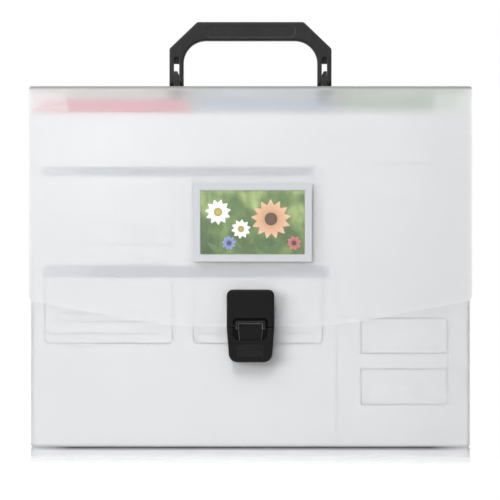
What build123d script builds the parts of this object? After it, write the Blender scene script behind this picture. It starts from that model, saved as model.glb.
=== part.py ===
from build123d import *
import os

# A slim carrying case for letter-size papers, made of folded frosted sheet plastic. The cover
# sheet runs up the back, over the top and down the front as a flap. A slide latch holds the flap,
# and a folding handle stands on the top. Inside are a printed card sheet, a label sheet and
# tabbed dividers. Millimetres, +Z up, the front faces -Y. The origin is the middle of the
# case's underside, halfway between the outer faces of the front and back panels.

# Case
body_width = 327.5
case_depth = 40.0
case_sheet = 1.0
mouth_drop = 14.3
bottom_bend = 2.5
case_corner = 2.0
rear_flange_height = 26.0

# Side walls
wall_top_gap = 4.0
wall_sheet = 0.8
wall_bend = 1.6
front_flange = 45.0
front_flange_top = 24.9
front_flange_taper_from = 110.0
rear_flange = 25.0
wall_crease_width = 0.8
wall_crease_depth = 0.25
fold_clearance = 0.3

# Cover: back panel, top strip and flap
cover_sheet = 1.0
cover_overhang = 1.25
cover_height = 269.0
cover_bend = 3.3
cover_corner = 2.0
cover_foot = 0.6
crease_gap = 0.1
flap_gap = 1.8
flap_low = 90.1
flap_side_rise = 19.0
flap_flat_half = 62.0
flap_bottom_radius = 250.0
flap_corner = 4.0

# Sheets and dividers inside
page_side_gap = 1.05
page_top_gap = 1.7
card_sheet_right = 64.2
page_split_gap = 0.6
page_sheet = 0.4
page_clearance = 0.3
page_lift = 0.05
divider_top_gap = 10.5
divider_sheet = 0.6
divider_bend = 1.5
divider_foot = 4.0
divider_foot_gap = 1.5
front_pocket = 8.0
middle_pocket = 11.9
tab_root = 3.0
tab_height = 6.3
tab_slant = 5.0
tab_gap = 0.8
tab_joins = (-45.7, 64.8)

# Handle
handle_half = 60.9
handle_rise = 49.1
shoulder_rise = 29.1
handle_top_half = 40.0
leg_width = 10.6
bar_height = 14.0
bar_inner_radius = 17.0
handle_thickness = 10.0
handle_edge = 1.3
shoulder_radius = 3.0
leg_clearance = 0.5
pin_radius = 1.5
pin_running = 0.05
pin_recess = 0.2
fork_reach = 12.3
fork_pocket_reach = 17.7
fork_pocket_depth = 3.0
grip_length = 67.0
grip_height = 9.0
grip_corner = 3.6
grip_depth = 0.5

# Handle ears
ear_width = 3.6
ear_side_gap = 0.25
ear_depth = 9.0
ear_tip = 6.8
ear_tip_half = 1.8
ear_tip_chamfer = 1.3
ear_slot_clearance = 0.2
ear_flange_width = 14.0
ear_flange_depth = 22.0
ear_flange_sheet = 1.5
ear_flange_corner = 2.0
ear_boss_width = 9.0
ear_boss_depth = 6.5
ear_boss_drop = 8.5
ear_boss_corner = 1.0

# Latch, both halves, with heights counted from the line where they part
latch_split_drop = 0.7
latch_split_gap = 0.8
latch_half = 17.7
latch_depth = 10.5
latch_upper_height = 27.9
latch_lower_height = 26.1
latch_taper = 2.05
latch_top_corner = 4.5
latch_bottom_corner = 6.5
latch_edge = 1.6
window_above_split = 6.7
window_below_split = 9.7
window_side_gap = 1.25
window_top_gap = 1.5
window_corner = 3.0
window_bottom_corner = 4.5
window_edge = 0.5
ledge_sheet = 1.4
ledge_lift = 0.8
tongue_clearance = 0.3

# Rivets and the plates behind them
rivet_radius = 1.0
rivet_head_radius = 1.5
rivet_head_sheet = 0.4
rivet_rim = 1.0
rivet_grip = 3.0
rivet_channel_wall = 0.7
backing_sheet = 0.8
upper_backing_margin = 2.0
lower_backing_margin = 0.3

# Latch slider
slider_travel = 5.0
slider_half = 11.6
slider_corner = 1.6
slider_neck_half = 9.6
slider_low_half = 8.0
slider_foot_half = 10.4
slider_foot_drop = 2.7
slider_foot_height = 2.5
slider_sheet = 3.5
slider_clearance = 0.3
stem_side_gap = 1.4
foot_side_gap = 0.4
lip_depth = 2.0
lip_height = 2.6
lip_side = 2.8
lip_drop = 6.6
lip_bevel = 1.1

# Latch spring
spring_side_gap = 2.4
spring_strip = 0.7
spring_depth = 2.6
spring_runs = 4
spring_corner = 0.8
spring_clearance = 0.05
spring_closed_pitch = 1.05

# Ribs on the latch's lower half
grip_ribs = 6
grip_rib_pitch = 1.5
grip_rib_width = 0.6
grip_rib_height = 0.4
grip_rib_half = 8.6
grip_rib_rise = 4.6
ridge_gap = 0.4
ridge_rise = 3.0
ridge_length = 9.5

# Picture pocket on the flap
pocket_at = 1.5
pocket_middle = 167.3
pocket_width = 88.4
pocket_height = 58.3
pocket_corner = 1.0
pocket_border = 5.1
picture_sheet = 0.4
pocket_frame_sheet = 0.7
pocket_film_sheet = 0.2
pocket_film_overlap = 2.0
picture_clearance = 0.3

# Faces and lines that follow from the sizes above, front to back
front_y = -case_depth / 2
back_y = case_depth / 2
front_inner_y = front_y + case_sheet
back_inner_y = back_y - cover_sheet
flap_y = front_y - flap_gap - cover_sheet
flap_inner_y = flap_y + cover_sheet
page_front_y = front_inner_y + wall_sheet + page_clearance
left_divider_y = page_front_y + page_sheet + front_pocket
middle_divider_y = left_divider_y + divider_sheet + middle_pocket
right_divider_y = back_inner_y - bottom_bend - divider_foot_gap - divider_foot
handle_at = (flap_y + back_y) / 2
latch_front_y = front_y - latch_depth
slider_back_y = flap_y - ledge_sheet - slider_clearance
slider_face_y = slider_back_y - slider_sheet
channel_floor_y = slider_back_y + slider_clearance
channel_roof_y = slider_face_y - slider_clearance

# Widths that follow
cover_width = body_width + 2 * cover_overhang
wall_x = body_width / 2 - wall_sheet / 2
page_half = body_width / 2 - wall_sheet - page_side_gap
leg_at = handle_half - leg_width / 2
fork_width = ear_width + 2 * ear_side_gap
window_half = slider_half + window_side_gap
channel_half = slider_low_half + stem_side_gap
channel_foot_half = slider_foot_half + foot_side_gap
spring_half = channel_half - spring_side_gap
latch_bottom_half = latch_half - latch_taper
picture_width = pocket_width - 2 * (pocket_border + picture_clearance)
picture_height = pocket_height - 2 * (pocket_border + picture_clearance)

# Heights that follow
front_bend_centre = (flap_y + cover_bend, cover_height - cover_bend)
rear_bend_centre = (back_y - cover_bend, cover_height - cover_bend)
strip_underside = cover_height - cover_sheet
wall_top = strip_underside - wall_top_gap
mouth_height = wall_top - mouth_drop
leg_low = cover_height + leg_clearance
pin_height = leg_low + handle_thickness / 2
handle_top = cover_height + handle_rise
bar_underside = handle_top - bar_height
latch_split = flap_low - latch_split_drop
base_top = latch_split - latch_split_gap / 2
plate_low = latch_split + latch_split_gap / 2
latch_top = latch_split + latch_upper_height
latch_bottom = latch_split - latch_lower_height
window_top = latch_split + window_above_split
window_bottom = latch_split - window_below_split
slider_top = window_top - window_top_gap
slider_foot_top = window_bottom - slider_foot_drop
slider_foot_low = slider_foot_top - slider_foot_height
channel_low = slider_foot_low - slider_travel - spring_runs * spring_closed_pitch

# Further than any face of the case, and the least distance that tells two places apart
far = 500.0
same_place = 0.01


def plate(outline, y_front, thickness):
    """A plate with an outline in X and Z, from y_front backwards."""
    return extrude(Plane.XZ.offset(-y_front) * outline, amount=thickness, dir=(0, 1, 0))


def across(profile, width):
    """A profile in Y and Z, drawn out to a width centred on X."""
    return extrude(Plane.YZ * profile, amount=width / 2, both=True)


def block(x, y, z):
    """A box between two values each of X, Y and Z."""
    size = (x[1] - x[0], y[1] - y[0], z[1] - z[0])
    middle = ((x[0] + x[1]) / 2, (y[0] + y[1]) / 2, (z[0] + z[1]) / 2)
    return Pos(*middle) * Box(*size)


def rectangle(left, right, low, high, corner=0.0):
    """A rectangle between two values of X and two of Z, with rounded corners if asked."""
    middle = Pos((left + right) / 2, (low + high) / 2)
    if corner > 0:
        return middle * RectangleRounded(right - left, high - low, corner)
    return middle * Rectangle(right - left, high - low)


def rounded_outline(points, radii):
    """A closed outline through points, each corner with its own radius."""
    return make_face(FilletPolyline(*points, radius=radii, close=True))


def y_cylinder(x, z, radius, y_front, length):
    """A round bar along Y, from y_front backwards."""
    return plate(Pos(x, z) * Circle(radius), y_front, length)


def x_cylinder(y, z, radius, x, length):
    """A round bar along X, centred on x."""
    return Pos(x, y, z) * Rot(0, 90, 0) * Cylinder(radius, length)


def write(name, part):
    """Writes one piece under its own name."""
    export_step(part, f"parts/{name}.step")


# The case

def case_outline():
    """The case from the front, with its lower corners rounded."""
    half = body_width / 2
    points = [(-half, 0), (half, 0), (half, far), (-half, far)]
    return rounded_outline(points, [case_corner, case_corner, 0, 0])


def body_sheet():
    """Front panel and bottom as one folded sheet, with a flange up the inside of the back."""
    front_line = front_y + case_sheet / 2
    floor_line = case_sheet / 2
    flange_line = back_inner_y - case_sheet / 2
    bend = bottom_bend - case_sheet / 2
    plain = FilletPolyline(
        (front_line, mouth_height), (front_line, floor_line), (back_inner_y, floor_line),
        radius=bend,
    )
    flanged = FilletPolyline(
        (front_line, mouth_height), (front_line, floor_line), (flange_line, floor_line),
        (flange_line, rear_flange_height),
        radius=bend,
    )
    flange_width = body_width - 2 * (rear_flange + wall_sheet + fold_clearance)
    folded = across(trace(plain, case_sheet), body_width)
    folded += across(trace(flanged, case_sheet), flange_width)
    folded &= plate(case_outline(), front_y, case_depth)
    for x, z in latch_base_rivet_points():
        folded -= y_cylinder(x, z, rivet_radius, front_y, case_sheet)
    return folded


def right_side_wall():
    """One gusset: the wall, a front flange that narrows upwards, and a rear flange."""
    half = body_width / 2
    front_line = front_inner_y + wall_sheet / 2
    rear_line = back_inner_y - wall_sheet / 2
    fold = FilletPolyline(
        (half - front_flange, front_line), (wall_x, front_line),
        (wall_x, rear_line), (half - rear_flange, rear_line),
        radius=wall_bend - wall_sheet / 2,
    )
    wall = Pos(0, 0, case_sheet) * extrude(trace(fold, wall_sheet), wall_top - case_sheet)
    wall -= front_flange_waste()
    crease = Polygon(
        (half, -wall_crease_width / 2), (half, wall_crease_width / 2),
        (half - wall_crease_depth, 0), align=None,
    )
    wall -= extrude(crease, wall_top, dir=(0, 0, 1))
    clip = bottom_bend + fold_clearance
    wall -= block((0, body_width), (front_y, front_y + clip), (0, clip))
    return wall & plate(case_outline(), front_y, case_depth)


def front_flange_waste():
    """What the front flange loses where its inner edge curves outwards to the wall's top."""
    low = (body_width / 2 - front_flange, front_flange_taper_from)
    high = (body_width / 2 - front_flange_top, wall_top)
    curve = TangentArc(low, high, tangent=(0, 1))
    rest = Polyline(high, (high[0], far), (0, far), (0, low[1]), low)
    return plate(make_face(curve + rest), front_y, case_sheet + wall_sheet + wall_bend / 2)


# The cover

def cover_profile():
    """The whole cover sheet from the side: up the back, over the top and down the front."""
    back_line = back_y - cover_sheet / 2
    top_line = cover_height - cover_sheet / 2
    flap_line = flap_y + cover_sheet / 2
    run = FilletPolyline(
        (back_line, cover_foot), (back_line, top_line), (flap_line, top_line), (flap_line, 0),
        radius=cover_bend - cover_sheet / 2,
    )
    return trace(run, cover_sheet)


def cover_part(zone, outline):
    """The part of the cover sheet in one zone of its profile, cut to an outline."""
    folded = across(cover_profile(), cover_width)
    folded &= across(Polygon(*zone, align=None), cover_width)
    return folded & plate(outline, -far, 2 * far)


def cover_top_outline():
    """The cover from the front, with its upper corners rounded."""
    half = cover_width / 2
    points = [(-half, 0), (half, 0), (half, cover_height), (-half, cover_height)]
    return rounded_outline(points, [0, 0, cover_corner, cover_corner])


def flap_outline():
    """The flap from the front: flat in the middle of its lower edge, rising to its sides."""
    half = cover_width / 2
    side_low = flap_low + flap_side_rise
    points = [
        (-half, cover_height), (-half, side_low), (-flap_flat_half, flap_low),
        (flap_flat_half, flap_low), (half, side_low), (half, cover_height),
    ]
    radii = [
        cover_corner, flap_corner, flap_bottom_radius,
        flap_bottom_radius, flap_corner, cover_corner,
    ]
    return rounded_outline(points, radii)


def back_panel():
    """The rear of the cover sheet, up to the middle of the rear top bend."""
    y, z = rear_bend_centre
    zone = [(y, z), (y + cover_bend, z + cover_bend), (far, z + cover_bend), (far, 0), (y, 0)]
    return cover_part(zone, cover_top_outline())


def top_strip():
    """The top of the cover sheet, with half a bend at each side and a slot for each ear."""
    (front, low), rear = front_bend_centre, rear_bend_centre[0]
    front += crease_gap
    rear -= crease_gap
    high = low + cover_bend
    zone = [(front, low), (front - cover_bend, high), (rear + cover_bend, high), (rear, low)]
    strip = cover_part(zone, cover_top_outline())
    slot_x = ear_width / 2 + ear_slot_clearance
    slot_y = ear_depth / 2 + ear_slot_clearance
    for x in (-leg_at, leg_at):
        slot = block((x - slot_x, x + slot_x), (handle_at - slot_y, handle_at + slot_y), (0, far))
        strip -= slot
    return strip


def front_flap():
    """The flap, from the middle of the front top bend down, pierced for the latch rivets."""
    y, z = front_bend_centre
    zone = [(y, z), (y - cover_bend, z + cover_bend), (-far, z + cover_bend), (-far, 0), (y, 0)]
    flap = cover_part(zone, flap_outline())
    for x, z in latch_plate_rivet_points():
        flap -= y_cylinder(x, z, rivet_radius, flap_y, cover_sheet)
    return flap


# Sheets and dividers

def page_low():
    """The lowest Z of a page close behind the front panel, clear of the bottom bend."""
    inner = bottom_bend - case_sheet
    within = max(0.0, inner - wall_sheet - page_clearance)
    return case_sheet + inner - (inner ** 2 - within ** 2) ** 0.5 + page_lift


def page(left, right):
    """A printed sheet that stands behind the front panel."""
    outline = rectangle(left, right, page_low(), mouth_height - page_top_gap)
    return plate(outline, page_front_y, page_sheet)


def divider(y, tab_left, tab_right):
    """A page with a foot along its lower edge and a tab along part of its upper edge."""
    middle = y + divider_sheet / 2
    floor = case_sheet + divider_sheet / 2
    top = wall_top - divider_top_gap
    fold = FilletPolyline(
        (middle, top), (middle, floor), (y + divider_foot, floor),
        radius=divider_bend - divider_sheet / 2,
    )
    leaf = across(trace(fold, divider_sheet), 2 * page_half)
    tab = Polygon(
        (tab_left, top - tab_root), (tab_right, top - tab_root), (tab_right, top),
        (tab_right - tab_slant, top + tab_height), (tab_left + tab_slant, top + tab_height),
        (tab_left, top), align=None,
    )
    return leaf + plate(tab, y, divider_sheet)


# The handle and its ears

def handle_outline():
    """The handle from the front: a flat-topped arch with sloping shoulders and two legs."""
    outer = handle_half
    inner = handle_half - leg_width
    shoulder = cover_height + shoulder_rise
    points = [
        (-outer, leg_low), (-outer, shoulder), (-handle_top_half, handle_top),
        (handle_top_half, handle_top), (outer, shoulder), (outer, leg_low),
        (inner, leg_low), (inner, bar_underside), (-inner, bar_underside), (-inner, leg_low),
    ]
    shoulders = [shoulder_radius] * 4
    radii = [0, *shoulders, 0, 0, bar_inner_radius, bar_inner_radius, 0]
    return rounded_outline(points, radii)


def handle_profile():
    """The handle from the side: round at the foot, about the pins."""
    half = handle_thickness / 2
    foot = Pos(handle_at, pin_height) * Circle(half)
    return foot + rectangle(handle_at - half, handle_at + half, pin_height, handle_top)


def fork_cut(x):
    """The slot in one leg: through for the ear, then a blind pocket on each face."""
    half = fork_width / 2
    pocket_top = pin_height + fork_pocket_reach
    front = handle_at - handle_thickness / 2
    back = handle_at + handle_thickness / 2
    cut = plate(rectangle(x - half, x + half, 0, pin_height + fork_reach), -far, 2 * far)
    pocket = rectangle(x - half, x + half, pin_height, pocket_top - half)
    pocket += Pos(x, pocket_top - half) * Circle(half)
    cut += plate(pocket, front, fork_pocket_depth)
    return cut + plate(pocket, back - fork_pocket_depth, fork_pocket_depth)


def handle():
    """The arch handle, with bevelled edges, forked legs and a shallow grip panel each side."""
    front = handle_at - handle_thickness / 2
    back = handle_at + handle_thickness / 2
    arch = plate(handle_outline(), front, handle_thickness)
    rim = [e for e in arch.edges()
           if e.bounding_box().size.Y < same_place and e.center().Z > leg_low + same_place]
    rim = [e for e in rim if min(abs(e.center().Y - y) for y in (front, back)) < same_place]
    arch = chamfer(rim, handle_edge)
    arch &= across(handle_profile(), cover_width)
    grip_z = (bar_underside + handle_top) / 2
    grip = Pos(0, grip_z) * RectangleRounded(grip_length, grip_height, grip_corner)
    arch -= plate(grip, front, grip_depth)
    arch -= plate(grip, back - grip_depth, grip_depth)
    for x in (-leg_at, leg_at):
        arch -= fork_cut(x)
        arch -= x_cylinder(handle_at, pin_height, pin_radius, x, leg_width)
    return arch


def handle_pin(x):
    """The pin through one fork and its ear."""
    return x_cylinder(handle_at, pin_height, pin_radius, x, leg_width - 2 * pin_recess)


def handle_ear(side):
    """A blade up through the strip, on a flange and a stub that lie under the strip."""
    x = side * leg_at
    half = ear_depth / 2
    tip_z = pin_height + ear_tip
    blade = rectangle(handle_at - half, handle_at + half, strip_underside, pin_height)
    blade += Pos(handle_at, pin_height) * Circle(half)
    tip = Polygon(
        (handle_at - half, pin_height), (handle_at + half, pin_height),
        (handle_at + ear_tip_half, tip_z), (handle_at - ear_tip_half, tip_z), align=None,
    )
    ear = Pos(x, 0, 0) * across(blade + tip, ear_width)
    corner = x - side * ear_width / 2
    chamfered = Polygon(
        (corner, tip_z), (corner + side * ear_tip_chamfer, tip_z),
        (corner, tip_z - 2 * ear_tip_chamfer), align=None,
    )
    ear -= plate(chamfered, -far, 2 * far)
    flange = Pos(x, handle_at) * RectangleRounded(
        ear_flange_width, ear_flange_depth, ear_flange_corner,
    )
    ear += Pos(0, 0, strip_underside - ear_flange_sheet) * extrude(flange, ear_flange_sheet)
    stub = Pos(x, handle_at) * RectangleRounded(ear_boss_width, ear_boss_depth, ear_boss_corner)
    ear += Pos(0, 0, strip_underside - ear_boss_drop) * extrude(stub, ear_boss_drop)
    return ear - x_cylinder(handle_at, pin_height, pin_radius + pin_running, x, leg_width)


# The latch

def latch_plate_rivet_points():
    """Where the upper half's rivets go, as X and Z."""
    x = latch_half - upper_backing_margin - rivet_rim - rivet_head_radius
    z = (window_top + latch_top) / 2
    return [(-x, z), (x, z)]


def latch_base_rivet_points():
    """Where the lower half's rivets go, as X and Z: one each side of the channel."""
    x = channel_foot_half + rivet_channel_wall + rivet_radius
    z = latch_bottom + latch_bottom_corner + rivet_rim
    return [(-x, z), (x, z)]


def window_outline():
    """The opening for the slider's head, which spans both halves of the latch."""
    points = [
        (-window_half, window_bottom), (window_half, window_bottom),
        (window_half, window_top), (-window_half, window_top),
    ]
    low, high = window_bottom_corner, window_corner
    return rounded_outline(points, [low, low, high, high])


def front_rim(part):
    """The edges around the front face of a latch half, but not those on the split line."""
    rim = [e for e in part.edges() if e.bounding_box().max.Y < latch_front_y + same_place]
    split = (base_top, plate_low)
    return [e for e in rim if min(abs(e.center().Z - z) for z in split) > same_place]


def cut_window(part):
    """A latch half with the window cut through its face, and bevelled round the window."""
    part -= plate(window_outline(), latch_front_y, channel_floor_y - latch_front_y)
    rim = []
    for edge in front_rim(part):
        low, high = edge.bounding_box().min, edge.bounding_box().max
        beside = max(-low.X, high.X) < window_half + same_place
        if beside and low.Z > window_bottom - same_place and high.Z < window_top + same_place:
            rim.append(edge)
    return chamfer(rim, window_edge)


def latch_plate():
    """The latch's upper half: a rounded block with a window over a thin ledge."""
    points = [
        (-latch_half, plate_low), (latch_half, plate_low),
        (latch_half, latch_top), (-latch_half, latch_top),
    ]
    outline = rounded_outline(points, [0, 0, latch_top_corner, latch_top_corner])
    half = plate(outline, latch_front_y, flap_y - latch_front_y)
    half = cut_window(fillet(front_rim(half), latch_edge))
    below_ledge = rectangle(-window_half, window_half, 0, plate_low + ledge_lift)
    half -= plate(below_ledge, latch_front_y, flap_y - latch_front_y)
    for x, z in latch_plate_rivet_points():
        half -= y_cylinder(x, z, rivet_radius, flap_y - rivet_grip, rivet_grip)
    return half


def latch_base():
    """The latch's lower half: the slider's channel behind a ribbed face, under the window."""
    points = [
        (-latch_bottom_half, latch_bottom), (latch_bottom_half, latch_bottom),
        (latch_half, base_top), (-latch_half, base_top),
    ]
    outline = rounded_outline(points, [latch_bottom_corner, latch_bottom_corner, 0, 0])
    half = plate(outline, latch_front_y, latch_depth)
    half = cut_window(fillet(front_rim(half), latch_edge))
    tongue = rectangle(-latch_half, latch_half, base_top, flap_low - tongue_clearance)
    tongue_y = flap_y + tongue_clearance
    half += plate(tongue, tongue_y, front_y - tongue_y)
    stem_room = rectangle(
        -channel_half, channel_half, channel_low, window_bottom + window_bottom_corner,
    )
    foot_room = rectangle(
        -channel_foot_half, channel_foot_half, channel_low, slider_foot_top + slider_clearance,
    )
    half -= plate(stem_room + foot_room, channel_roof_y, channel_floor_y - channel_roof_y)
    half += grip_ribbing()
    for x, z in latch_base_rivet_points():
        half -= y_cylinder(x, z, rivet_radius, front_y - rivet_grip, rivet_grip)
    return half


def grip_ribbing():
    """Cross ribs between two upright ridges, on the face of the lower half."""
    half_width = grip_rib_width / 2
    ridge_at = grip_rib_half + ridge_gap + half_width
    ridge_low = latch_bottom + ridge_rise
    bars = [rectangle(x - half_width, x + half_width, ridge_low, ridge_low + ridge_length)
            for x in (-ridge_at, ridge_at)]
    for n in range(grip_ribs):
        low = latch_bottom + grip_rib_rise + n * grip_rib_pitch
        bars.append(rectangle(-grip_rib_half, grip_rib_half, low, low + grip_rib_width))
    ribs = Part()
    for bar in bars:
        ribs += plate(bar, latch_front_y - grip_rib_height, grip_rib_height)
    return ribs


def slider_head():
    """The slider's head from the front: a bar across the top with both ends turned down."""
    inner = slider_half - lip_side
    bar_low, end_low = slider_top - lip_height, slider_top - lip_drop
    points = [
        (-slider_half, end_low), (-slider_half, slider_top),
        (slider_half, slider_top), (slider_half, end_low),
        (inner, end_low), (inner, bar_low), (-inner, bar_low), (-inner, end_low),
    ]
    return rounded_outline(points, [0, slider_corner, slider_corner, 0, 0, 0, 0, 0])


def latch_slider():
    """The slider: its hooked head has a raised lip for a fingertip over the top and sides."""
    lip_low = slider_top - lip_height
    points = [
        (-slider_low_half, slider_foot_top), (-slider_foot_half, slider_foot_top),
        (-slider_foot_half, slider_foot_low), (slider_foot_half, slider_foot_low),
        (slider_foot_half, slider_foot_top), (slider_low_half, slider_foot_top),
        (slider_neck_half, lip_low), (-slider_neck_half, lip_low),
    ]
    stem = make_face(Polyline(*points, close=True))
    head = slider_head()
    slider = plate(stem + head, slider_face_y, slider_sheet)
    lip_front_y = slider_face_y - lip_depth
    lip = plate(head, lip_front_y, lip_depth)
    front = [e for e in lip.edges() if e.bounding_box().max.Y < lip_front_y + same_place]
    bevelled = [e for e in front
                if e.center().Z > slider_top - slider_corner
                or abs(e.center().X) > slider_half - same_place]
    return slider + chamfer(bevelled, lip_bevel)


def latch_spring():
    """A zigzag strip between the floor of the channel and the slider's foot."""
    high = slider_foot_low - spring_clearance - spring_strip / 2
    low = channel_low + spring_clearance + spring_strip / 2
    step = (high - low) / (spring_runs - 1)
    points = [(-spring_half, high)]
    for n in range(spring_runs):
        side = 1 if n % 2 == 0 else -1
        points.append((side * spring_half, high - n * step))
    points.append((-points[-1][0], low))
    run = FilletPolyline(*points, radius=spring_corner)
    middle_y = (slider_face_y + slider_back_y) / 2
    return plate(trace(run, spring_strip), middle_y - spring_depth / 2, spring_depth)


def rivets(points, front, head_y):
    """Short rivets along Y, each with a flat head set flush in the backing plate."""
    head_front = head_y - rivet_head_sheet
    group = []
    for x, z in points:
        shank = y_cylinder(x, z, rivet_radius, front, head_y - front)
        group.append(shank + y_cylinder(x, z, rivet_head_radius, head_front, rivet_head_sheet))
    return Compound(group)


def backing_plate(outline, y_front, points):
    """A thin plate inside the sheet, with a seat for each rivet's head."""
    backing = plate(outline, y_front, backing_sheet)
    head_front = y_front + backing_sheet - rivet_head_sheet
    for x, z in points:
        backing -= y_cylinder(x, z, rivet_radius, y_front, backing_sheet)
        backing -= y_cylinder(x, z, rivet_head_radius, head_front, rivet_head_sheet)
    return backing


def latch_plate_backing():
    """The plate behind the flap that the upper half is riveted to."""
    half = latch_half - upper_backing_margin
    top = latch_top - upper_backing_margin
    outline = rectangle(-half, half, window_top, top, latch_edge)
    return backing_plate(outline, flap_inner_y, latch_plate_rivet_points())


def latch_base_backing():
    """The plate behind the front panel that the lower half is riveted to."""
    margin = lower_backing_margin
    low, top = latch_bottom + margin, base_top - margin
    low_half, top_half = latch_bottom_half - margin, latch_half - margin
    points = [(-low_half, low), (low_half, low), (top_half, top), (-top_half, top)]
    corner = latch_bottom_corner - margin
    outline = rounded_outline(points, [corner, corner, 0, 0])
    return backing_plate(outline, front_inner_y, latch_base_rivet_points())


# The picture pocket

def pocket_rectangle(width, height, corner=0.0):
    """A rectangle centred on the pocket."""
    left, low = pocket_at - width / 2, pocket_middle - height / 2
    return rectangle(left, left + width, low, low + height, corner)


def pocket_frame():
    """The welded border of the pocket, open round the picture."""
    border = pocket_rectangle(pocket_width, pocket_height, pocket_corner)
    border -= pocket_rectangle(pocket_width - 2 * pocket_border, pocket_height - 2 * pocket_border)
    return plate(border, flap_y - pocket_frame_sheet, pocket_frame_sheet)


def pocket_film():
    """The clear film over the picture, sealed to the border."""
    width = picture_width + 2 * pocket_film_overlap
    height = picture_height + 2 * pocket_film_overlap
    film = pocket_rectangle(width, height, pocket_corner)
    return plate(film, flap_y - pocket_frame_sheet - pocket_film_sheet, pocket_film_sheet)


def picture_card():
    """The printed card in the pocket."""
    card = pocket_rectangle(picture_width, picture_height)
    return plate(card, flap_y - picture_sheet, picture_sheet)


def write_case():
    """The folded case and what stands inside it."""
    write("body_sheet", body_sheet())
    write("back_panel", back_panel())
    wall = right_side_wall()
    write("right_side_wall", wall)
    write("left_side_wall", mirror(wall, Plane.YZ))
    write("card_sheet", page(-page_half, card_sheet_right))
    write("label_sheet", page(card_sheet_right + page_split_gap, page_half))
    tab_edges = [-page_half, *tab_joins, page_half]
    places = {"left": left_divider_y, "middle": middle_divider_y, "right": right_divider_y}
    for n, (name, y) in enumerate(places.items()):
        left = tab_edges[n] + tab_gap / 2
        right = tab_edges[n + 1] - tab_gap / 2
        write(f"{name}_tab_divider", divider(y, left, right))


def write_cover():
    """The moving parts of the cover, with the handle and the picture pocket."""
    write("top_strip", top_strip())
    write("front_flap", front_flap())
    write("handle", handle())
    for name, side in (("left", -1), ("right", 1)):
        write(f"{name}_handle_pin", handle_pin(side * leg_at))
        write(f"{name}_handle_ear", handle_ear(side))
    write("pocket_frame", pocket_frame())
    write("pocket_film", pocket_film())
    write("picture_card", picture_card())


def write_latch():
    """Both halves of the latch with their fixings, the slider and its spring."""
    write("latch_plate", latch_plate())
    write("latch_plate_rivets", rivets(
        latch_plate_rivet_points(), flap_y - rivet_grip, flap_inner_y + backing_sheet,
    ))
    write("latch_plate_backing", latch_plate_backing())
    write("latch_base", latch_base())
    write("latch_base_rivets", rivets(
        latch_base_rivet_points(), front_y - rivet_grip, front_inner_y + backing_sheet,
    ))
    write("latch_base_backing", latch_base_backing())
    write("latch_slider", latch_slider())
    write("latch_spring", latch_spring())


def main():
    os.makedirs("parts", exist_ok=True)
    write_case()
    write_cover()
    write_latch()


main()
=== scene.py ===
import bpy
import math
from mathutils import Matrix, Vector


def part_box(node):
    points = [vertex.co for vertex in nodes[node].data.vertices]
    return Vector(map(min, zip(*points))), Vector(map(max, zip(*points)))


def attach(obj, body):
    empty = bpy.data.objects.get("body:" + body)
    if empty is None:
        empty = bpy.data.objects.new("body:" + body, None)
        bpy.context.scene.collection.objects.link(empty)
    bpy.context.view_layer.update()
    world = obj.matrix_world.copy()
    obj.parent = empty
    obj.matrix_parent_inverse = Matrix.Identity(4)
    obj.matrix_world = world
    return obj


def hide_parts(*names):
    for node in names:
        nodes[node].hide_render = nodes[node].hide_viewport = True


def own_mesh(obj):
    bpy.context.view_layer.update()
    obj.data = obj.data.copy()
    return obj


# The looks of a frosted carrying case for papers, around its packed construction. Metres.

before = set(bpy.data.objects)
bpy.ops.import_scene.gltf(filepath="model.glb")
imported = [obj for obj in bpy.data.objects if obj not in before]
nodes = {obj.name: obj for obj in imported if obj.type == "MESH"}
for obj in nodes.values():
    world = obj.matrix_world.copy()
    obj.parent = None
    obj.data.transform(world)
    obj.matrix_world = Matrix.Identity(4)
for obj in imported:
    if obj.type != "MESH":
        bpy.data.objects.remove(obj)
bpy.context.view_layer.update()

# The photograph's frame: its side in pixels, the size of a pixel on the front of the case, the
# column of the middle plane and the row of the floor line
photo_side = 500
pixel = 0.000745
middle_column = 250.5
floor_row = 447.0
camera_distance = 2.0
sensor_width = 36.0
clip_end = 50.0

# Printed card sheet and label sheet, in columns and rows of the photograph: the cards' outlines
# and header bars, the ruled lines of the lower cards, and the labels
card_columns = ((44, 172.5), (193, 323))
card_rows = ((166.5, 245), (265, 344))
bar_left = 42
bar_rights = (312, 328)
bar_rows = ((167.0, 176.0), (266.0, 277.5))
rule_rows = (314, 322, 334)
label_columns = (361, 448)
label_tops = (163, 216, 267, 318, 369)
label_rows = 36

# Their lines and corners. A ruled line stops short of its card's left side by so many corners, the
# first line by more than the others, and of the right side by so many times that
line_width = 0.0005
card_corner = 0.0035
label_corner = 0.0012
first_rule_inset = 3.5
rule_inset = 1.0
rule_right_share = 2.2

# Ink on the sheets, and the label sheet's margin: the slit that it leaves beside the card sheet,
# and its lap on the label sheet
ink_thickness = 0.00005
ink_gap = 0.00001
sheet_slit = 0.00022
label_overlap = 0.0004

# Picture pocket: its film, and the layers of ink on the picture
film_lift = 0.00002
film_inset = 0.0016
film_corner = 0.001
layer_step = 0.00004
layer_thickness = 0.00002

# Flowers: the turn of the first petal, the size of the heart in the flower's reach, and what each
# petal lies in front of the last, in layers
petal_turn = 0.3
heart_share = 0.32
petal_step = 0.001

# Stalks by column, row and lean of their foot, with half their widths at the foot and the tip, and
# the two leaves at each foot
stalks = ((271, 219, -0.0025), (218, 214, 0.002), (241, 229, 0.001))
stalk_foot = 0.0005
stalk_tip = 0.0004
leaf_lean = 0.9
leaf_rise = 0.001
leaf_length = 0.013
leaf_width = 0.0042

# Dividers' tabs: how far their colour reaches down, how clear it is, its soft edge, and where one
# tab meets the next
tab_height = 0.0115
tab_clearness = 0.1
tab_edge = 0.0002
tab_joins = (-0.0457, 0.0648)

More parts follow.
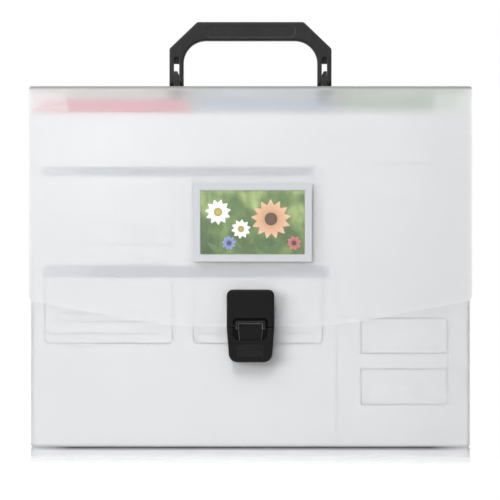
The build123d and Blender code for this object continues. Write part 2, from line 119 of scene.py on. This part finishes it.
# The cover's two bends, which have painted shade along them as darker lines: their height, where
# they start in depth, their colour and how clear they are
crease_band = 0.0030
crease_depth = 0.0165
crease_shade_grey = (0.50, 0.50, 0.48)
crease_clearness = 0.3

# Sheets of the case, and a hair of room between two that lie face to face
case_sheet = 0.0010
wall_sheet = 0.0008
sheet_gap = 0.00006

# Floor: its size and colour, how bright it is where it is seen, where its mirror image of the case
# fades out in front, and its contact shade: where that is full and where it ends, how much sooner
# it ends at the sides, how it fades towards the case's ends, and how bright its darkest part is
floor_half = 3.0
floor_grey = 0.6
floor_glow = 0.62
mirror_far = -0.205
mirror_near = -0.075
mirror_roughness = 0.05
contact_near = 0.010
contact_far = 0.044
contact_side_fall = 16.0
contact_taper = 0.030
contact_dark = 0.15

# Plastics: how light bends in the frosted sheet, the grey of the painted highlight along black
# edges, and how alike the true and the softened normal are where that highlight is full and where
# there is none
sheet_bending = 1.49
edge_highlight_grey = (0.27, 0.265, 0.25, 1)
full_highlight_likeness = 0.80
plain_likeness = 0.99


def photo_x(column):
    """X of a column of the photograph, on the front of the case."""
    return (column - middle_column) * pixel


def photo_z(row):
    """Height of a row of the photograph, on the front of the case."""
    return (floor_row - row) * pixel


# Materials

class Nodes:
    """A material's node tree, with short calls to add and join nodes."""

    def __init__(self, name):
        self.material = bpy.data.materials.new(name)
        self.material.use_nodes = True
        self.tree = self.material.node_tree
        self.tree.nodes.clear()
        self.output = self.tree.nodes.new("ShaderNodeOutputMaterial")

    def add(self, kind, inputs=None, **settings):
        """A node; inputs holds numbers, colours or other nodes' sockets by name or number."""
        node = self.tree.nodes.new(kind)
        for name, value in settings.items():
            setattr(node, name, value)
        for name, value in (inputs or {}).items():
            if isinstance(value, bpy.types.NodeSocket):
                self.tree.links.new(value, node.inputs[name])
            else:
                node.inputs[name].default_value = value
        return node

    def math(self, operation, a, b=0.0):
        """A Math node's result."""
        return self.add("ShaderNodeMath", {0: a, 1: b}, operation=operation).outputs[0]

    def mix(self, share, a, b):
        """Colour a turning into colour b as share goes from 0 to 1."""
        return self.add("ShaderNodeMix", {0: share, 6: a, 7: b}, data_type="RGBA").outputs[2]

    def place(self):
        """The point on the piece."""
        return self.add("ShaderNodeTexCoord").outputs["Object"]

    def axis(self, index):
        """One coordinate of the point on the piece."""
        return self.add("ShaderNodeSeparateXYZ", {0: self.place()}).outputs[index]

    def stretched(self, scale):
        """The point on the piece, scaled differently along each axis."""
        return self.add("ShaderNodeMapping", {"Vector": self.place(), "Scale": scale}).outputs[0]

    def noise(self, scale, detail=2.0, vector=None):
        """Noise about the piece, from 0 to 1."""
        inputs = {"Vector": vector or self.place(), "Scale": scale, "Detail": detail}
        return self.add("ShaderNodeTexNoise", inputs).outputs[0]

    def ramp(self, value, low, high, from_value=0.0, to_value=1.0):
        """A value between low and high, moved into another range and held at its ends."""
        inputs = {0: value, 1: low, 2: high, 3: from_value, 4: to_value}
        return self.add("ShaderNodeMapRange", inputs, clamp=True).outputs[0]

    def bump(self, height, strength, distance, normal=None):
        """A normal from a height."""
        inputs = {"Height": height, "Strength": strength, "Distance": distance}
        if normal:
            inputs["Normal"] = normal
        return self.add("ShaderNodeBump", inputs).outputs[0]

    def through(self, surface, share):
        """A shader that lets a share of the lamps' light through."""
        lamp_ray = self.add("ShaderNodeLightPath").outputs["Is Shadow Ray"]
        clear = self.add("ShaderNodeBsdfTransparent").outputs[0]
        amount = self.math("MULTIPLY", lamp_ray, share)
        return self.add("ShaderNodeMixShader", {0: amount, 1: surface, 2: clear}).outputs[0]

    def finish(self, shader):
        """Joins the shader to the output and gives the material."""
        self.tree.links.new(shader, self.output.inputs[0])
        return self.material


def shade(colour, factor=1.0):
    """A colour made lighter or darker, with its last channel added."""
    return (colour[0] * factor, colour[1] * factor, colour[2] * factor, 1.0)


def frosted_sheet(name, colour, roughness, clear_share, light_share, band=None, flange=None):
    """Frosted sheet plastic: a milky surface that also shows what is behind it, blurred.

    clear_share is how clear it is, and light_share the lamps' light that a face lets through.
    flange is how clear the sheet is where it lies flat against a panel, the share of it that is
    open there, and how far that reaches to each side.
    band is another colour, the height where it starts, the height where it is full, how clear it
    is, its left and right ends, and the depth beyond which it shows, or None: a tab's colour, or
    painted shade along a fold."""
    n = Nodes(name)
    cloud = n.ramp(n.noise(7.0), 0.35, 0.65)
    milk = n.mix(cloud, shade(colour, 0.985), shade(colour))
    clearness = clear_share
    if flange:
        flange_clearness, flange_open, reach = flange
        beside = n.math("ABSOLUTE", n.axis(0))
        clearness = n.ramp(beside, reach - tab_edge, reach, flange_clearness, clear_share)
    if band:
        band_colour, starts, full, band_clearness, left, right, depth = band
        inside = n.math("MINIMUM", n.ramp(n.axis(0), left, left + tab_edge),
                        n.ramp(n.axis(0), right, right - tab_edge))
        if depth:
            beyond = n.ramp(n.math("ABSOLUTE", n.axis(1)), depth, depth + 2 * tab_edge)
            inside = n.math("MINIMUM", inside, beyond)
        share = n.math("MULTIPLY", n.ramp(n.axis(2), starts, full), inside)
        milk = n.mix(share, milk, shade(band_colour))
        clearness = n.ramp(share, 0.0, 1.0, clear_share, band_clearness)
    grain = n.noise(2400.0, 3.0)
    waves = n.noise(11.0, 1.0, n.stretched((1.0, 1.0, 0.4)))
    normal = n.bump(grain, 0.08, 0.00002, n.bump(waves, 0.15, 0.0005))
    surface = n.add("ShaderNodeBsdfPrincipled", {
        "Base Color": milk, "IOR": sheet_bending, "Normal": normal,
        "Transmission Weight": clearness,
        "Roughness": n.ramp(grain, 0.3, 0.7, roughness - 0.02, roughness + 0.02),
    })
    shader = surface.outputs[0]
    if flange:
        share = n.ramp(beside, reach - tab_edge, reach, flange_open, 0.0)
        clear = n.add("ShaderNodeBsdfTransparent").outputs[0]
        shader = n.add("ShaderNodeMixShader", {0: share, 1: shader, 2: clear}).outputs[0]
    return n.finish(n.through(shader, light_share))


def black_plastic(name, level, roughness, shine, edge_radius, edge_highlight):
    """Satin black moulded plastic with a fine grain, paler scuffs, softened edges and a painted
    highlight along them.
    """
    n = Nodes(name)
    grain = n.noise(1500.0, 3.0)
    patches = n.ramp(n.noise(55.0), 0.3, 0.7)
    scuffs = n.ramp(n.noise(260.0, 4.0, n.stretched((1.0, 1.0, 0.35))), 0.62, 0.75)
    dark = (level, level * 0.98, level * 0.98, 1)
    pale = (level * 1.2, level * 1.17, level * 1.17, 1)
    scuffed = (level * 1.6, level * 1.55, level * 1.55, 1)
    wear_and_highlight = n.mix(scuffs, n.mix(patches, dark, pale), scuffed)
    soft = n.add("ShaderNodeBevel", {"Radius": edge_radius}, samples=8).outputs[0]
    both = {0: n.add("ShaderNodeNewGeometry").outputs["Normal"], 1: soft}
    alike = n.add("ShaderNodeVectorMath", both, operation="DOT_PRODUCT").outputs["Value"]
    # A paler grey painted where the softened normal turns from the true one: a painted highlight
    # along the edges
    highlight_share = n.ramp(alike, full_highlight_likeness, plain_likeness, edge_highlight, 0.0)
    wear_and_highlight = n.mix(highlight_share, wear_and_highlight, edge_highlight_grey)
    surface = n.add("ShaderNodeBsdfPrincipled", {
        "Base Color": wear_and_highlight, "IOR": 1.5, "Specular IOR Level": shine,
        "Roughness": n.ramp(patches, 0.0, 1.0, roughness - 0.04, roughness + 0.04),
        "Normal": n.bump(grain, 0.15, 0.00003, soft),
    })
    return n.finish(surface.outputs[0])


def paper(name, colour, shine=0.3):
    """Smooth printed paper with faint fibres."""
    n = Nodes(name)
    fibres = n.noise(900.0, 4.0, n.stretched((1.0, 1.0, 0.3)))
    tone = n.mix(n.ramp(fibres, 0.3, 0.7), shade(colour, 0.975), shade(colour))
    surface = n.add("ShaderNodeBsdfPrincipled", {
        "Base Color": tone, "Roughness": 0.6, "Specular IOR Level": shine,
        "Normal": n.bump(fibres, 0.1, 0.00003),
    })
    return n.finish(surface.outputs[0])


def clear_film(name):
    """Thin clear film with a soft gloss and faint ripples."""
    n = Nodes(name)
    ripples = n.noise(45.0, 1.0)
    surface = n.add("ShaderNodeBsdfPrincipled", {
        "Base Color": (0.99, 0.99, 1.0, 1), "IOR": 1.45, "Transmission Weight": 1.0,
        "Roughness": n.ramp(ripples, 0.3, 0.7, 0.02, 0.06),
        "Normal": n.bump(ripples, 0.1, 0.0002),
    })
    return n.finish(n.through(surface.outputs[0], 1.0))


def steel(name):
    """Plain drawn steel."""
    n = Nodes(name)
    lines = n.noise(700.0, 2.0, n.stretched((0.05, 1.0, 1.0)))
    surface = n.add("ShaderNodeBsdfPrincipled", {
        "Metallic": 1.0, "Base Color": n.mix(lines, (0.5, 0.5, 0.51, 1), (0.66, 0.66, 0.67, 1)),
        "Roughness": n.ramp(lines, 0.3, 0.7, 0.25, 0.4),
    })
    return n.finish(surface.outputs[0])


def meadow(name, low, high):
    """A blurred green meadow in sunlight, between two heights."""
    n = Nodes(name)
    spots = n.ramp(n.noise(70.0, 1.0), 0.35, 0.65)
    blades = n.ramp(n.noise(240.0, 2.0, n.stretched((1.0, 1.0, 0.4))), 0.35, 0.7)
    rise = n.ramp(n.axis(2), low, high)
    grass = n.mix(spots, (0.035, 0.085, 0.018, 1), (0.15, 0.25, 0.05, 1))
    far = n.mix(spots, (0.13, 0.22, 0.06, 1), (0.42, 0.53, 0.20, 1))
    ground = n.mix(rise, grass, far)
    tone = n.mix(n.math("MULTIPLY", blades, 0.5), ground, (0.03, 0.07, 0.015, 1))
    surface = n.add("ShaderNodeBsdfPrincipled", {"Base Color": tone, "Roughness": 0.5})
    return n.finish(surface.outputs[0])


def petal_print(name, centre, reach, inner, outer):
    """A petal colour that changes from the middle of a flower outwards."""
    n = Nodes(name)
    inputs = {0: n.place(), 1: centre}
    distance = n.add("ShaderNodeVectorMath", inputs, operation="DISTANCE").outputs["Value"]
    veins = n.noise(900.0, 2.0)
    share = n.ramp(distance, 0.0, reach)
    tone = n.mix(share, shade(inner), shade(outer))
    tone = n.mix(n.ramp(veins, 0.3, 0.7, 0.0, 0.25), tone, shade(inner))
    surface = n.add("ShaderNodeBsdfPrincipled", {"Base Color": tone, "Roughness": 0.5})
    return n.finish(surface.outputs[0])


def dress(names, material):
    """Gives a material to carried-over pieces."""
    for name in names:
        mesh = nodes[name].data
        mesh.materials.clear()
        mesh.materials.append(material)


def set_apart(name, front, back, material):
    """Stands a copy in for a folded sheet, with its flanges a hair off the panels they lie on."""
    mesh = nodes[name].data.copy()
    for vertex in mesh.vertices:
        vertex.co.y = min(max(vertex.co.y, front), back)
    mesh.materials.clear()
    mesh.materials.append(material)
    obj = bpy.data.objects.new(f"{name}_sheet", mesh)
    bpy.context.collection.objects.link(obj)
    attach(obj, "case")
    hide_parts(name)


def short_spring():
    """Stands a copy in for the latch's spring, riding on the case; nothing here shortens it as the
    slider is pushed down.
    """
    obj = bpy.data.objects.new("latch_zigzag_spring", nodes["latch_spring"].data.copy())
    bpy.context.collection.objects.link(obj)
    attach(obj, "case")
    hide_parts("latch_spring")
    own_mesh(obj)


# Flat printed pieces

def prism(points, y, thickness, vertices, faces):
    """Adds a flat plate with an outline in X and Z to lists of vertices and faces."""
    first, count = len(vertices), len(points)
    vertices.extend((x, y, z) for x, z in points)
    vertices.extend((x, y + thickness, z) for x, z in points)
    faces.append([first + i for i in range(count)])
    faces.append([first + count + i for i in reversed(range(count))])
    for i in range(count):
        j = (i + 1) % count
        faces.append([first + j, first + i, first + count + i, first + count + j])


def ring(outer, inner, y, thickness, vertices, faces):
    """Adds a flat band between two outlines that have as many points each."""
    first, count = len(vertices), len(outer)
    for depth in (y, y + thickness):
        vertices.extend((x, depth, z) for x, z in outer)
        vertices.extend((x, depth, z) for x, z in inner)
    front_outer, front_inner, back_outer, back_inner = (first + k * count for k in range(4))
    for i in range(count):
        j = (i + 1) % count
        faces.append([front_outer + i, front_outer + j, front_inner + j, front_inner + i])
        faces.append([back_outer + j, back_outer + i, back_inner + i, back_inner + j])
        faces.append([front_outer + j, front_outer + i, back_outer + i, back_outer + j])
        faces.append([front_inner + i, front_inner + j, back_inner + j, back_inner + i])


def rounded(left, right, low, high, corner, steps=5):
    """The outline of a rectangle with rounded corners, anticlockwise from the lower right."""
    points = []
    middles = (
        (right - corner, low + corner), (right - corner, high - corner),
        (left + corner, high - corner), (left + corner, low + corner),
    )
    for quarter, (x, z) in enumerate(middles):
        for step in range(steps + 1):
            turn = math.radians(90 * (quarter - 1 + step / steps))
            points.append((x + corner * math.cos(turn), z + corner * math.sin(turn)))
    return points


def outline_ring(left, right, low, high, corner, y, vertices, faces):
    """Adds a printed outline of a rounded rectangle, one line wide."""
    inner = rounded(left + line_width, right - line_width, low + line_width, high - line_width,
                    corner - line_width)
    ring(rounded(left, right, low, high, corner), inner, y, ink_thickness, vertices, faces)


def rectangle(left, right, low, high):
    """The outline of a plain rectangle, anticlockwise."""
    return [(left, low), (right, low), (right, high), (left, high)]


def piece(name, vertices, faces, body, material):
    """A mesh piece that rides on a body."""
    mesh = bpy.data.meshes.new(name)
    mesh.from_pydata(vertices, [], faces)
    mesh.update()
    mesh.materials.append(material)
    obj = bpy.data.objects.new(name, mesh)
    bpy.context.collection.objects.link(obj)
    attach(obj, body)
    return obj


def printed_sheets(white_paper):
    """The header bars, card outlines and label outlines on the two sheets in the case, and the
    label sheet's margin, which closes most of the gap beside the card sheet."""
    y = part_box("card_sheet")[0][1] - ink_gap - ink_thickness
    navy = paper("bar_ink", (0.025, 0.08, 0.24), 0.2)
    grey = paper("line_ink", (0.06, 0.07, 0.09), 0.2)

    vertices, faces = [], []
    for (top, low), right in zip(bar_rows, bar_rights):
        bar = rectangle(photo_x(bar_left), photo_x(right), photo_z(low), photo_z(top))
        prism(bar, y, ink_thickness, vertices, faces)
    piece("card_sheet_bars", vertices, faces, "case", navy)

    vertices, faces = [], []
    for left, right in card_columns:
        for top, low in card_rows:
            sides = (photo_x(left), photo_x(right), photo_z(low), photo_z(top))
            outline_ring(*sides, card_corner, y, vertices, faces)
            for rule in rule_rows:
                z = photo_z(rule - card_rows[1][1] + low)
                inset = (first_rule_inset if rule == rule_rows[0] else rule_inset) * card_corner
                line = rectangle(sides[0] + inset, sides[1] - rule_right_share * inset,
                                 z, z + line_width / 2)
                prism(line, y, ink_thickness, vertices, faces)
    piece("card_sheet_lines", vertices, faces, "case", grey)

    vertices, faces = [], []
    for top in label_tops:
        left, right = label_columns
        sides = (photo_x(left), photo_x(right), photo_z(top + label_rows), photo_z(top))
        outline_ring(*sides, label_corner, y, vertices, faces)
    piece("label_sheet_lines", vertices, faces, "case", grey)

    vertices, faces = [], []
    (left, _, low), (_, _, high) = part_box("label_sheet")
    margin = rectangle(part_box("card_sheet")[1][0] + sheet_slit, left + label_overlap, low, high)
    prism(margin, y, ink_thickness, vertices, faces)
    piece("label_sheet_margin", vertices, faces, "case", white_paper)


def petal_outline(x, z, angle, length, width, steps=7):
    """A pointed oval from a flower's middle outwards."""
    points = []
    for side in (1, -1):
        for step in range(steps):
            along = step / steps if side == 1 else 1 - step / steps
            across = side * width / 2 * math.sin(math.pi * along ** 0.8)
            dx = along * length * math.cos(angle) - across * math.sin(angle)
            dz = along * length * math.sin(angle) + across * math.cos(angle)
            points.append((x + dx, z + dz))
    return points[::-1]


def disc_outline(x, z, radius, steps=20):
    """A circle's outline, anticlockwise."""
    turns = [2 * math.pi * step / steps for step in range(steps)]
    return [(x + radius * math.cos(t), z + radius * math.sin(t)) for t in turns]


def flower(name, column, row, reach, petals, width, colours, heart, layer):
    """A printed flower: petals round a heart, on one layer of the picture."""
    x, z = photo_x(column), photo_z(row)
    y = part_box("picture_card")[0][1] - layer * layer_step
    vertices, faces = [], []
    for number in range(petals):
        angle = 2 * math.pi * (number + petal_turn) / petals
        depth = y - petal_step * layer_step * number
        prism(petal_outline(x, z, angle, reach, width), depth, layer_thickness, vertices, faces)
    petal_ink = petal_print(f"{name}_petal_ink", (x, y, z), reach, *colours)
    piece(f"{name}_petals", vertices, faces, "flap", petal_ink)

    vertices, faces = [], []
    radius = reach * heart_share
    prism(disc_outline(x, z, radius), y - layer_step, layer_thickness, vertices, faces)
    rim = shade(heart, 0.55)[:3]
    heart_ink = petal_print(f"{name}_heart_ink", (x, y, z), radius, heart, rim)
    piece(f"{name}_heart", vertices, faces, "flap", heart_ink)


def stems():
    """Stalks and leaves under the flowers of the picture."""
    (_, front, low), (_, _, high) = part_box("picture_card")
    y = front - layer_step / 2
    vertices, faces = [], []
    for column, row, lean in stalks:
        x, z = photo_x(column), photo_z(row)
        foot = x + lean
        stalk = [(foot - stalk_foot, low), (foot + stalk_foot, low), (x + stalk_tip, z),
                 (x - stalk_tip, z)]
        prism(stalk, y, layer_thickness, vertices, faces)
        for side in (-1, 1):
            angle = math.pi / 2 - side * leaf_lean
            leaf = petal_outline(foot, low + leaf_rise, angle, leaf_length, leaf_width)
            prism(leaf, y - layer_step / 8 * (2 + side), layer_thickness / 2, vertices, faces)
    dark_green, green = (0.05, 0.11, 0.025), (0.12, 0.26, 0.06)
    leaf_ink = petal_print("leaf_ink", (0, y, low), high - low, dark_green, green)
    piece("picture_leaves", vertices, faces, "flap", leaf_ink)


def picture():
    """A meadow with flowers, printed on the card in the pocket."""
    low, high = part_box("picture_card")[0][2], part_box("picture_card")[1][2]
    dress(["picture_card"], meadow("meadow_print", low, high))
    stems()
    white = ((0.75, 0.76, 0.70), (0.86, 0.87, 0.86))
    flower("warm_flower", 271, 219, 0.0150, 13, 0.0068, ((0.42, 0.20, 0.08), (0.80, 0.52, 0.34)),
           (0.13, 0.06, 0.03), 2)
    flower("white_flower", 218, 212, 0.0098, 11, 0.0052, white, (0.55, 0.40, 0.06), 1)
    flower("small_white_flower", 241, 229, 0.0074, 10, 0.0042, white, (0.5, 0.36, 0.05), 1)
    flower("blue_flower", 229, 243, 0.0055, 9, 0.0034, ((0.10, 0.13, 0.36), (0.30, 0.36, 0.66)),
           (0.06, 0.06, 0.14), 3)
    flower("red_flower", 294, 243, 0.0056, 8, 0.0040, ((0.30, 0.06, 0.06), (0.60, 0.20, 0.18)),
           (0.08, 0.03, 0.03), 3)


def film():
    """The clear film over the picture, cut to the border's opening and a hair in front of it."""
    (left, front, low), (right, back, high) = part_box("pocket_film")
    vertices, faces = [], []
    outline = rounded(left + film_inset, right - film_inset, low + film_inset, high - film_inset,
                      film_corner)
    prism(outline, front, back - front - film_lift, vertices, faces)
    material = clear_film("pocket_film")
    obj = piece("clear_pocket_film", vertices, faces, "flap", material)
    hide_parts("pocket_film")


# Floor, light and camera

def floor():
    """A plain white floor with a contact shade round the case and its mirror image near the front.

    The shade darkens only what the camera sees of the floor, so the case's foot isn't lit by a
    black floor."""
    corners = [(-floor_half, -floor_half, 0), (floor_half, -floor_half, 0),
               (floor_half, floor_half, 0), (-floor_half, floor_half, 0)]
    mesh = bpy.data.meshes.new("floor")
    mesh.from_pydata(corners, [], [(0, 1, 2, 3)])
    plane = bpy.data.objects.new("floor", mesh)
    bpy.context.collection.objects.link(plane)
    n = Nodes("floor_white")
    path = n.add("ShaderNodeLightPath").outputs
    seen = n.math("MAXIMUM", path["Is Camera Ray"],
                  n.math("MAXIMUM", path["Is Glossy Ray"], path["Is Transmission Ray"]))
    case_x, case_y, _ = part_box("body_sheet")[1]
    sideways = n.math("ABSOLUTE", n.axis(0))
    beside = n.math("MULTIPLY", n.math("SUBTRACT", sideways, case_x), contact_side_fall)
    before = n.math("SUBTRACT", n.math("ABSOLUTE", n.axis(1)), case_y)
    away = n.math("MAXIMUM", beside, before)
    inward = n.ramp(sideways, case_x - contact_taper, case_x, 1.0, 0.0)
    darkness = n.math("MULTIPLY", inward,
                      n.ramp(away, contact_near, contact_far, 1.0 - contact_dark, 0.0))
    open_floor = n.ramp(path["Is Camera Ray"], 0.0, 1.0, 1.0, n.math("SUBTRACT", 1.0, darkness))
    grey = (floor_grey, floor_grey, floor_grey, 1)
    matt = n.add("ShaderNodeBsdfDiffuse", {"Color": grey}).outputs[0]
    lit = n.math("MULTIPLY", n.math("MULTIPLY", seen, floor_glow), open_floor)
    glow = n.add("ShaderNodeEmission", {"Color": (1, 1, 1, 1), "Strength": lit}).outputs[0]
    both = n.add("ShaderNodeAddShader", {0: matt, 1: glow}).outputs[0]
    tone = n.mix(open_floor, (0, 0, 0, 1), (1, 1, 1, 1))
    glossy = {"Color": tone, "Roughness": mirror_roughness}
    mirror = n.add("ShaderNodeBsdfGlossy", glossy).outputs[0]
    mirrored = n.math("MAXIMUM", path["Is Camera Ray"], n.ramp(away, contact_near, contact_far))
    share = n.math("MULTIPLY", n.ramp(n.axis(1), mirror_far, mirror_near), mirrored)
    mixed = n.add("ShaderNodeMixShader", {0: share, 1: both, 2: mirror}).outputs[0]
    mesh.materials.append(n.finish(mixed))


def surround(strength):
    """A white world: full white where it is seen, softer where it lights the case."""
    world = bpy.data.worlds.new("studio")
    bpy.context.scene.world = world
    world.use_nodes = True
    tree = world.node_tree
    tree.nodes.clear()
    output = tree.nodes.new("ShaderNodeOutputWorld")
    path = tree.nodes.new("ShaderNodeLightPath")
    first, second = tree.nodes.new("ShaderNodeMath"), tree.nodes.new("ShaderNodeMath")
    first.operation = second.operation = "MAXIMUM"
    tree.links.new(path.outputs["Is Camera Ray"], first.inputs[0])
    tree.links.new(path.outputs["Is Glossy Ray"], first.inputs[1])
    tree.links.new(first.outputs[0], second.inputs[0])
    tree.links.new(path.outputs["Is Transmission Ray"], second.inputs[1])
    mix = tree.nodes.new("ShaderNodeMixShader")
    tree.links.new(second.outputs[0], mix.inputs[0])
    for slot, level in ((1, strength), (2, 1.0)):
        background = tree.nodes.new("ShaderNodeBackground")
        background.inputs[0].default_value = (1, 1, 1, 1)
        background.inputs[1].default_value = level
        tree.links.new(background.outputs[0], mix.inputs[slot])
    tree.links.new(mix.outputs[0], output.inputs[0])


def lamp(name, place, target, size, power):
    """A square soft lamp that points at a target."""
    data = bpy.data.lights.new(name, "AREA")
    data.size = size
    data.energy = power
    obj = bpy.data.objects.new(name, data)
    obj.location = place
    obj.rotation_euler = (Vector(target) - Vector(place)).to_track_quat("-Z", "Y").to_euler()
    bpy.context.collection.objects.link(obj)


def camera():
    """A level camera straight in front, framed as the photograph is."""
    data = bpy.data.cameras.new("camera")
    data.sensor_fit = "HORIZONTAL"
    data.sensor_width = sensor_width
    data.lens = sensor_width * camera_distance / (photo_side * pixel)
    data.clip_end = clip_end
    obj = bpy.data.objects.new("camera", data)
    half = photo_side / 2
    obj.location = (photo_x(half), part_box("front_flap")[0][1] - camera_distance, photo_z(half))
    obj.rotation_euler = (math.radians(90), 0, 0)
    bpy.context.collection.objects.link(obj)
    bpy.context.scene.camera = obj


# Cover, body and side walls, in frosted sheet

cover_frost = (0.955, 0.957, 0.960)
strip_frost = (0.88, 0.88, 0.87)
# The cover and the body sheet are one plastic; the body's darker grey is painted shade over the
# lower, single-layer part of the case
shaded_body_frost = (0.85, 0.853, 0.858)
wall_frost = (0.965, 0.967, 0.970)
back_frost = (0.91, 0.905, 0.875)
(case_left, _, _), (case_right, _, cover_top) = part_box("top_strip")
# Painted shade: a darker, less clear band along the cover's front and back bends
crease = (crease_shade_grey, cover_top - crease_band, cover_top - crease_band / 2, crease_clearness,
          case_left, case_right, crease_depth)
dress(["front_flap"], frosted_sheet("frosted_cover", cover_frost, roughness=0.52,
                                    clear_share=0.8, light_share=0.93, band=crease))
dress(["top_strip"], frosted_sheet("frosted_strip", strip_frost, roughness=0.52,
                                   clear_share=0.5, light_share=0.7, band=crease))
dress(["back_panel"], frosted_sheet("frosted_back", back_frost, roughness=0.62,
                                    clear_share=0.2, light_share=0.6, band=crease))
dress(["body_sheet"], frosted_sheet("frosted_body", shaded_body_frost, roughness=0.4,
                                    clear_share=0.8, light_share=0.93))
wall_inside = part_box("right_side_wall")[1][0] - wall_sheet
walls = frosted_sheet("frosted_wall", wall_frost, roughness=0.45, clear_share=0.6,
                      light_share=0.97, flange=(0.5, 0.7, wall_inside))
inner_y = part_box("body_sheet")[0][1] + case_sheet + sheet_gap
set_apart("left_side_wall", inner_y, -inner_y, walls)
set_apart("right_side_wall", inner_y, -inner_y, walls)

# Dividers with their coloured tabs, and the sheets of paper

tab_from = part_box("left_tab_divider")[1][2] - tab_height
tabs = (
    ("left", (0.62, 0.10, 0.17), case_left, tab_joins[0]),
    ("middle", (0.22, 0.38, 0.60), tab_joins[0], tab_joins[1]),
    ("right", (0.02, 0.36, 0.09), tab_joins[1], case_right),
)
for side, tint, left, right in tabs:
    tab = (tint, tab_from - tab_edge, tab_from + tab_edge, tab_clearness, left, right, None)
    divider = frosted_sheet(f"{side}_divider", wall_frost, roughness=0.5, clear_share=0.8,
                            light_share=0.9, band=tab)
    dress([f"{side}_tab_divider"], divider)
sheet_paper = paper("sheet_paper", (0.86, 0.86, 0.87))
dress(["card_sheet", "label_sheet"], sheet_paper)

# Handle, latch and the picture pocket's border

dress(["handle", "left_handle_ear", "right_handle_ear"],
      black_plastic("handle_plastic", level=0.024, roughness=0.42, shine=0.22,
                    edge_radius=0.0006, edge_highlight=0.30))
dress(["latch_base", "latch_plate", "latch_spring", "latch_base_rivets", "latch_plate_rivets",
       "latch_base_backing", "latch_plate_backing"],
      black_plastic("latch_plastic", level=0.007, roughness=0.38, shine=0.14,
                    edge_radius=0.0006, edge_highlight=0.09))
# The slider's head and window rims carry a strong painted highlight along their edges
dress(["latch_slider"],
      black_plastic("slider_plastic", level=0.007, roughness=0.38, shine=0.14,
                    edge_radius=0.0010, edge_highlight=0.95))
short_spring()
dress(["left_handle_pin", "right_handle_pin"], steel("pin_steel"))
dress(["pocket_frame"], paper("pocket_border", (0.78, 0.80, 0.84), 0.5))

# The scene's own pieces, and the studio

printed_sheets(sheet_paper)
picture()
film()
floor()
surround(0.35)
lamp("key", (-1.6, -1.5, 0.55), (0, 0, 0.15), 0.8, 13)
lamp("top", (-0.25, -0.8, 0.95), (0, 0, 0.22), 0.6, 4.7)
camera()
bpy.context.scene.view_settings.view_transform = "Standard"
